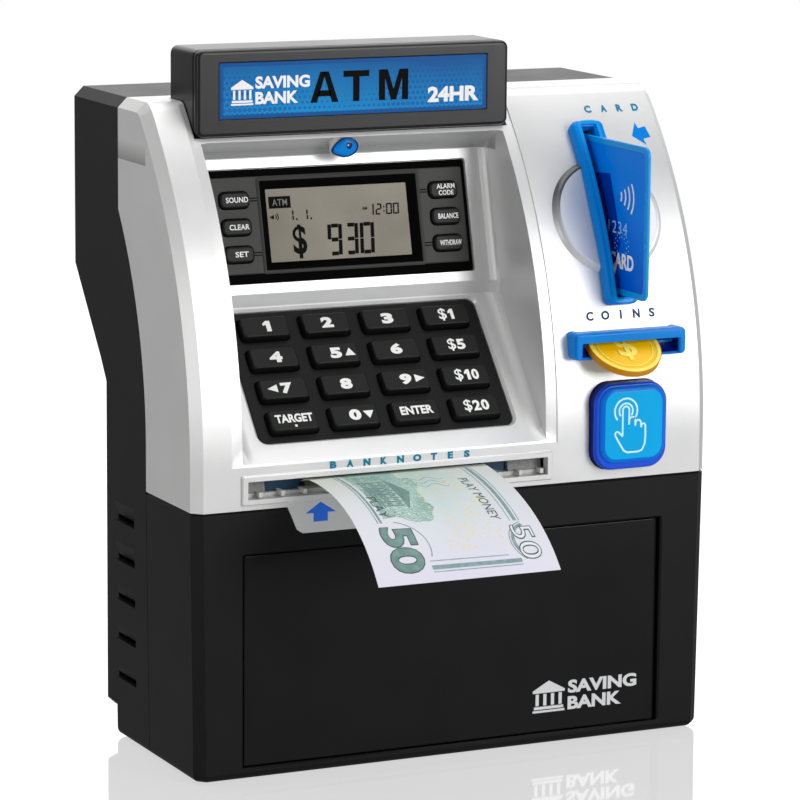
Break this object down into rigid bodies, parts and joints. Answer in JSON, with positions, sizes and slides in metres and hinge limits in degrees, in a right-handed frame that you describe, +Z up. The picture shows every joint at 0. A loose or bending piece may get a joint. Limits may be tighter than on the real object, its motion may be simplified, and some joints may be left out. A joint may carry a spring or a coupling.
{
  "type": "toy cash machine savings bank",
  "caption": "Toy cash machine money box with a sloped keypad, display, card, coin and note slots, a note roller and a hinged cash door.",
  "frame": {"origin": "middle of the footprint of the whole object, note and switch knob included, on the table", "axes": "+X to the right seen from the front, +Y to the back, +Z up; the front face looks along -Y"},
  "size_m": [0.19, 0.1624, 0.2369],
  "materials": {
    "silver_plastic": "satin silver paint on ABS",
    "black_plastic": "fine satin black ABS",
    "sign_plastic": "polished black ABS",
    "sign_print": "printed blue panel behind a clear film",
    "key_rubber": "black rubberised keys with white legends",
    "bezel_plastic": "dark grey moulded plastic",
    "lcd_glass": "grey liquid crystal panel",
    "blue_plastic": "glossy azure plastic",
    "card_print": "laminated blue play card",
    "coin_gold": "gold coloured play coin",
    "note_paper": "printed play-money paper",
    "steel": "bright steel",
    "board": "green circuit board",
    "white_plastic": "natural white ABS",
    "blue_rubber": "dark blue roller rubber",
    "foot_foam": "thin anti-slip pad",
    "battery_wrap": "plain foil wrap with a steel end"
  },
  "bodies": {
    "housing": {"front_shell": "silver_plastic", "lower_housing": "black_plastic", "rear_cover": "black_plastic", "sign_housing": "sign_plastic", "sign_panel": "sign_print", "display_bezel": "bezel_plastic", "lcd_screen": "lcd_glass", "keypad_plate": "key_rubber", "camera_eye": "blue_plastic", "card_bezel": "blue_plastic", "coin_bezel": "blue_plastic", "main_board": "board", "keypad_board": "board", "note_guide": "white_plastic", "feed_motor": "steel", "latch_solenoid": "steel", "coin_chute": "white_plastic", "battery_1": "battery_wrap", "battery_2": "battery_wrap", "battery_3": "battery_wrap", "speaker": "black_plastic", "foot_1": "foot_foam", "foot_2": "foot_foam", "foot_3": "foot_foam", "foot_4": "foot_foam"},
    "battery_cover": {"battery_cover": "black_plastic", "battery_cover_screw": "steel"},
    "cash_door": {"cash_door": "black_plastic"},
    "touch_button": {"touch_button": "blue_plastic"},
    "card": {"card": "card_print"},
    "coin": {"coin": "coin_gold"},
    "banknote": {"banknote": "note_paper"},
    "feed_roller": {"feed_roller": "blue_rubber", "roller_gear": "white_plastic"},
    "pinch_roller": {"pinch_roller": "white_plastic"},
    "motor_pinion": {"motor_pinion": "steel"},
    "door_latch": {"door_latch": "steel"},
    "power_switch": {"power_switch": "black_plastic"},
    "key_1": {"key_1": "key_rubber"},
    "key_2": {"key_2": "key_rubber"},
    "key_3": {"key_3": "key_rubber"},
    "key_plus_1": {"key_plus_1": "key_rubber"},
    "key_4": {"key_4": "key_rubber"},
    "key_5": {"key_5": "key_rubber"},
    "key_6": {"key_6": "key_rubber"},
    "key_plus_5": {"key_plus_5": "key_rubber"},
    "key_7": {"key_7": "key_rubber"},
    "key_8": {"key_8": "key_rubber"},
    "key_9": {"key_9": "key_rubber"},
    "key_plus_10": {"key_plus_10": "key_rubber"},
    "key_target": {"key_target": "key_rubber"},
    "key_0": {"key_0": "key_rubber"},
    "key_enter": {"key_enter": "key_rubber"},
    "key_plus_20": {"key_plus_20": "key_rubber"},
    "key_sound": {"key_sound": "key_rubber"},
    "key_clear": {"key_clear": "key_rubber"},
    "key_set": {"key_set": "key_rubber"},
    "key_alarm": {"key_alarm": "key_rubber"},
    "key_balance": {"key_balance": "key_rubber"},
    "key_withdraw": {"key_withdraw": "key_rubber"}
  },
  "joints": [
    {"name": "banknote_feed", "type": "slide", "parent": "housing", "child": "banknote", "axis": [0, -1, 0], "range_m": [0, 0.03]},
    {"name": "battery_cover_lift", "type": "slide", "parent": "housing", "child": "battery_cover", "axis": [0, 1, 0], "range_m": [0, 0.025]},
    {"name": "card_slide", "type": "slide", "parent": "housing", "child": "card", "axis": [0, 1, 0], "range_m": [-0.045, 0.01]},
    {"name": "cash_door_swing", "type": "hinge", "parent": "housing", "child": "cash_door", "pos_m": [0.0751, -0.02245, 0], "axis": [0, 0, 1], "range_deg": [0, 95]},
    {"name": "coin_drop", "type": "slide", "parent": "housing", "child": "coin", "axis": [0, 0.8192, 0.5736], "range_m": [-0.012, 0.004]},
    {"name": "door_latch_throw", "type": "slide", "parent": "housing", "child": "door_latch", "axis": [-1, 0, 0], "range_m": [0, 0.005]},
    {"name": "feed_roller_spin", "type": "hinge", "parent": "housing", "child": "feed_roller", "pos_m": [0, -0.01215, 0.1018], "axis": [1, 0, 0], "continuous": true},
    {"name": "pinch_roller_spin", "type": "hinge", "parent": "housing", "child": "pinch_roller", "pos_m": [0, -0.01215, 0.09305], "axis": [1, 0, 0], "continuous": true},
    {"name": "motor_pinion_spin", "type": "hinge", "parent": "housing", "child": "motor_pinion", "pos_m": [0, -0.00015, 0.1018], "axis": [1, 0, 0], "continuous": true},
    {"name": "key_1_press", "type": "slide", "parent": "housing", "child": "key_1", "axis": [0, 0.7547, -0.6561], "range_m": [0, 0.0012], "stiffness_N_per_m": 300},
    {"name": "key_2_press", "type": "slide", "parent": "housing", "child": "key_2", "axis": [0, 0.7547, -0.6561], "range_m": [0, 0.0012], "stiffness_N_per_m": 300},
    {"name": "key_3_press", "type": "slide", "parent": "housing", "child": "key_3", "axis": [0, 0.7547, -0.6561], "range_m": [0, 0.0012], "stiffness_N_per_m": 300},
    {"name": "key_plus_1_press", "type": "slide", "parent": "housing", "child": "key_plus_1", "axis": [0, 0.7547, -0.6561], "range_m": [0, 0.0012], "stiffness_N_per_m": 300},
    {"name": "key_4_press", "type": "slide", "parent": "housing", "child": "key_4", "axis": [0, 0.7547, -0.6561], "range_m": [0, 0.0012], "stiffness_N_per_m": 300},
    {"name": "key_5_press", "type": "slide", "parent": "housing", "child": "key_5", "axis": [0, 0.7547, -0.6561], "range_m": [0, 0.0012], "stiffness_N_per_m": 300},
    {"name": "key_6_press", "type": "slide", "parent": "housing", "child": "key_6", "axis": [0, 0.7547, -0.6561], "range_m": [0, 0.0012], "stiffness_N_per_m": 300},
    {"name": "key_plus_5_press", "type": "slide", "parent": "housing", "child": "key_plus_5", "axis": [0, 0.7547, -0.6561], "range_m": [0, 0.0012], "stiffness_N_per_m": 300},
    {"name": "key_7_press", "type": "slide", "parent": "housing", "child": "key_7", "axis": [0, 0.7547, -0.6561], "range_m": [0, 0.0012], "stiffness_N_per_m": 300},
    {"name": "key_8_press", "type": "slide", "parent": "housing", "child": "key_8", "axis": [0, 0.7547, -0.6561], "range_m": [0, 0.0012], "stiffness_N_per_m": 300},
    {"name": "key_9_press", "type": "slide", "parent": "housing", "child": "key_9", "axis": [0, 0.7547, -0.6561], "range_m": [0, 0.0012], "stiffness_N_per_m": 300},
    {"name": "key_plus_10_press", "type": "slide", "parent": "housing", "child": "key_plus_10", "axis": [0, 0.7547, -0.6561], "range_m": [0, 0.0012], "stiffness_N_per_m": 300},
    {"name": "key_target_press", "type": "slide", "parent": "housing", "child": "key_target", "axis": [0, 0.7547, -0.6561], "range_m": [0, 0.0012], "stiffness_N_per_m": 300},
    {"name": "key_0_press", "type": "slide", "parent": "housing", "child": "key_0", "axis": [0, 0.7547, -0.6561], "range_m": [0, 0.0012], "stiffness_N_per_m": 300},
    {"name": "key_enter_press", "type": "slide", "parent": "housing", "child": "key_enter", "axis": [0, 0.7547, -0.6561], "range_m": [0, 0.0012], "stiffness_N_per_m": 300},
    {"name": "key_plus_20_press", "type": "slide", "parent": "housing", "child": "key_plus_20", "axis": [0, 0.7547, -0.6561], "range_m": [0, 0.0012], "stiffness_N_per_m": 300},
    {"name": "key_sound_press", "type": "slide", "parent": "housing", "child": "key_sound", "axis": [0, 0.9703, -0.2419], "range_m": [0, 0.0008], "stiffness_N_per_m": 300},
    {"name": "key_clear_press", "type": "slide", "parent": "housing", "child": "key_clear", "axis": [0, 0.9703, -0.2419], "range_m": [0, 0.0008], "stiffness_N_per_m": 300},
    {"name": "key_set_press", "type": "slide", "parent": "housing", "child": "key_set", "axis": [0, 0.9703, -0.2419], "range_m": [0, 0.0008], "stiffness_N_per_m": 300},
    {"name": "key_alarm_press", "type": "slide", "parent": "housing", "child": "key_alarm", "axis": [0, 0.9703, -0.2419], "range_m": [0, 0.0008], "stiffness_N_per_m": 300},
    {"name": "key_balance_press", "type": "slide", "parent": "housing", "child": "key_balance", "axis": [0, 0.9703, -0.2419], "range_m": [0, 0.0008], "stiffness_N_per_m": 300},
    {"name": "key_withdraw_press", "type": "slide", "parent": "housing", "child": "key_withdraw", "axis": [0, 0.9703, -0.2419], "range_m": [0, 0.0008], "stiffness_N_per_m": 300},
    {"name": "power_switch_slide", "type": "slide", "parent": "housing", "child": "power_switch", "axis": [1, 0, 0], "range_m": [0, 0.006]},
    {"name": "touch_button_press", "type": "slide", "parent": "housing", "child": "touch_button", "axis": [0, 1, 0], "range_m": [0, 0.0015], "stiffness_N_per_m": 400}
  ],
  "couplings": [
    {"joint": "pinch_roller_spin", "follows": "feed_roller_spin", "ratio": -1.2857},
    {"joint": "motor_pinion_spin", "follows": "feed_roller_spin", "ratio": -2}
  ]
}
